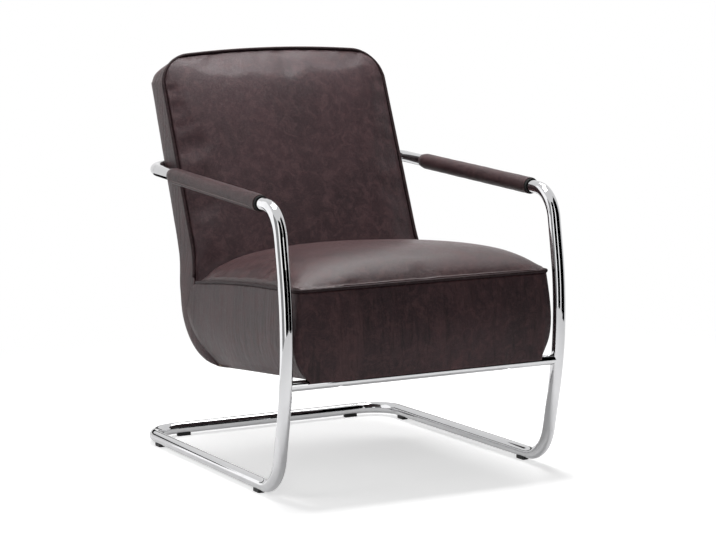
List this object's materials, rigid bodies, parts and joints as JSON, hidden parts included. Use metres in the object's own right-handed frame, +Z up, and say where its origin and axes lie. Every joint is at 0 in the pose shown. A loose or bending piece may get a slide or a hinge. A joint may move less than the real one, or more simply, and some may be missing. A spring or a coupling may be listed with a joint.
{
  "type": "cantilever lounge chair",
  "caption": "Cantilever lounge chair with a bent chrome tube frame, padded leather seat and back with piping, and leather-sleeved arms.",
  "frame": {"origin": "on the floor under the middle of the chair: centre of the bounding box in X and Y, lowest point in Z", "axes": "+X to the viewer's right when facing the chair, front towards -Y, +Z up"},
  "size_m": [0.613, 0.8164, 0.8418],
  "materials": {
    "chrome_tube": "polished",
    "zinc_steel": "zinc plated",
    "spring_steel": "oiled wire",
    "glide_plastic": "matte",
    "black_foam": "matte foam rubber",
    "cushion_foam": "open-cell foam",
    "leather_main": "semi-aniline, softly polished",
    "leather_side": "semi-aniline, fine creases",
    "leather_piping": "semi-aniline, tightly stretched",
    "plywood": "raw plywood",
    "beech": "raw solid wood",
    "felt": "needled felt",
    "webbing": "woven elastic",
    "dust_cloth": "non-woven cloth"
  },
  "bodies": {
    "root": {"frame_tube_left": "chrome_tube", "frame_tube_right": "chrome_tube", "base_joint_sleeve": "zinc_steel", "upper_joint_sleeve": "zinc_steel", "front_cross_tube": "chrome_tube", "glides": "glide_plastic", "arm_pad_foam_left": "black_foam", "arm_pad_foam_right": "black_foam", "arm_pad_cover_left": "leather_main", "arm_pad_cover_right": "leather_main", "side_panel_left": "plywood", "side_panel_right": "plywood", "foot_board": "beech", "front_rail": "beech", "rear_rail": "beech", "back_mid_rail": "beech", "back_top_rail": "beech", "back_low_rail": "beech", "corner_blocks": "beech", "seat_screws": "zinc_steel", "seat_tee_nuts": "zinc_steel", "back_screws": "zinc_steel", "back_tee_nuts": "zinc_steel", "seat_springs": "spring_steel", "spring_clips": "zinc_steel", "seat_felt": "felt", "seat_foam": "cushion_foam", "front_pad": "cushion_foam", "side_pad_left": "cushion_foam", "side_pad_right": "cushion_foam", "back_webbing": "webbing", "back_foam": "cushion_foam", "seat_top_cover": "leather_main", "seat_band_cover": "leather_side", "seat_piping": "leather_piping", "back_front_cover": "leather_main", "back_band_cover": "leather_side", "back_piping": "leather_piping", "rear_cover": "leather_main", "dust_cover": "dust_cloth"}
  },
  "joints": []
}
